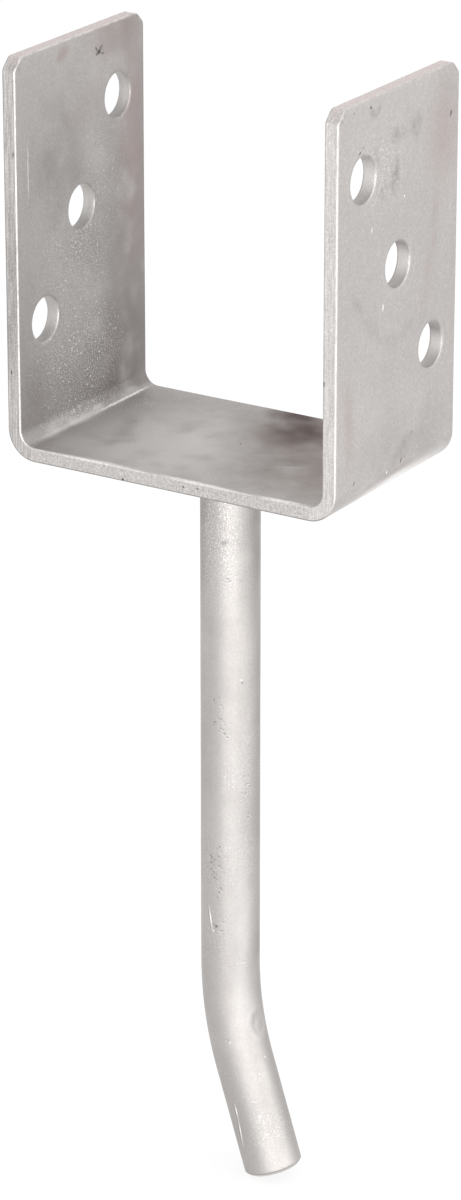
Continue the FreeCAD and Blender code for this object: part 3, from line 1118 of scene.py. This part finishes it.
def weld_material():
    s = Shader("weld_metal")
    mottle = s.noise(400, 4.0, 0.6)
    colour = s.mix(s.ramp(mottle, 0.3, 0.75), (0.50, 0.475, 0.455, 1), (0.38, 0.345, 0.32, 1))
    return s.metal(colour, s.ramp(mottle, 0.2, 0.8, 0.36, 0.5), s.bump(mottle, 0.3, 0.0001))


def floor_material():
    """White paint that glows where it is looked at, and is see-through from beneath."""
    s = Shader("floor")
    paint = s.node("BsdfDiffuse", Color=FLOOR_PAINT).outputs[0]
    glow = s.node("Emission", Strength=1.0).outputs[0]
    ray = s.node("LightPath").outputs
    seen = s.more(s.more(ray["Is Camera Ray"], ray["Is Glossy Ray"]), ray["Is Transmission Ray"])
    above = s.node("MixShader", s.times(seen, FLOOR_GLOW), paint, glow).outputs[0]
    beneath = s.node("NewGeometry").outputs["Backfacing"]
    clear = s.node("BsdfTransparent").outputs[0]
    return s.finish(s.node("MixShader", beneath, above, clear).outputs[0])


# The cheeks and the seat have a material each, with the marks that reach them.
for name, region in REGIONS.items():
    bracket.data.materials.append(bracket_material(name, region))
for face in bracket.data.polygons:
    face.material_index = 1 + (face.center.x > FLAT_HALF * MM) - (face.center.x < -FLAT_HALF * MM)
bar.data.materials.append(bar_material())
weld.data.materials.append(weld_material())


# --- camera and studio ---
AIM = Vector((0, 0, -0.0437))   # in metres, as are all the sizes below
CAMERA_PLACE = 31.95, 21.37, 1.2169     # azimuth, elevation and distance
SENSOR_WIDTH, LENS = 36, 138.4  # in millimetres
CLIP_NEAR, CLIP_FAR = 0.05, 50
# Soft boxes: azimuth, elevation, distance, width, height and watts.
LAMPS = {
    "front": (33, 2.0, 1.7, 2.0, 0.48, 22.5),
    "side": (93, 11, 1.6, 1.2, 0.9, 14.5),
    "top": (205, 55, 1.5, 1.2, 1.0, 1.5),
}
FLOOR_REACH = 8.0
FLOOR_PAINT = (0.97, 0.97, 0.97, 1)
FLOOR_GLOW = 0.8        # share of the floor's own light where the camera sees it


def aimed(name, data, azimuth, elevation, distance):
    """A camera or a lamp that looks at the object. Azimuth 0 is -Y, and 90 is +X."""
    a, e = math.radians(azimuth), math.radians(elevation)
    back = Vector((math.sin(a) * math.cos(e), -math.cos(a) * math.cos(e), math.sin(e)))
    made = placed(name, data)
    made.location = AIM + back * distance
    made.rotation_mode = "QUATERNION"
    made.rotation_quaternion = (-back).to_track_quat("-Z", "Y")
    return made


def lamp(name, azimuth, elevation, distance, width, height, watts):
    """A soft box, which the camera doesn't see."""
    data = bpy.data.lights.new(name, "AREA")
    data.shape = "RECTANGLE"
    data.size = width
    data.size_y = height
    data.energy = watts
    aimed(name, data, azimuth, elevation, distance).visible_camera = False


def studio_floor():
    mesh = bpy.data.meshes.new("floor")
    around = ((-1, -1), (1, -1), (1, 1), (-1, 1))
    corners = [(FLOOR_REACH * x, FLOOR_REACH * y, cad_low.z) for x, y in around]
    mesh.from_pydata(corners, [], [(0, 1, 2, 3)])
    mesh.materials.append(floor_material())
    return placed("floor", mesh)


def white_world():
    world = bpy.data.worlds.new("studio")
    world.use_nodes = True
    tree = world.node_tree
    tree.nodes.clear()
    room = tree.nodes.new("ShaderNodeBackground")
    room.inputs["Color"].default_value = (1, 1, 1, 1)
    room.inputs["Strength"].default_value = 1.0
    tree.links.new(room.outputs[0], tree.nodes.new("ShaderNodeOutputWorld").inputs[0])
    return world


camera_data = bpy.data.cameras.new("camera")
camera_data.sensor_width = SENSOR_WIDTH
camera_data.lens = LENS
camera_data.clip_start, camera_data.clip_end = CLIP_NEAR, CLIP_FAR
bpy.context.scene.camera = aimed("camera", camera_data, *CAMERA_PLACE)

for name, settings in LAMPS.items():
    lamp(name, *settings)
floor = studio_floor()
bpy.context.scene.world = white_world()
bpy.context.scene.view_settings.view_transform = "Standard"
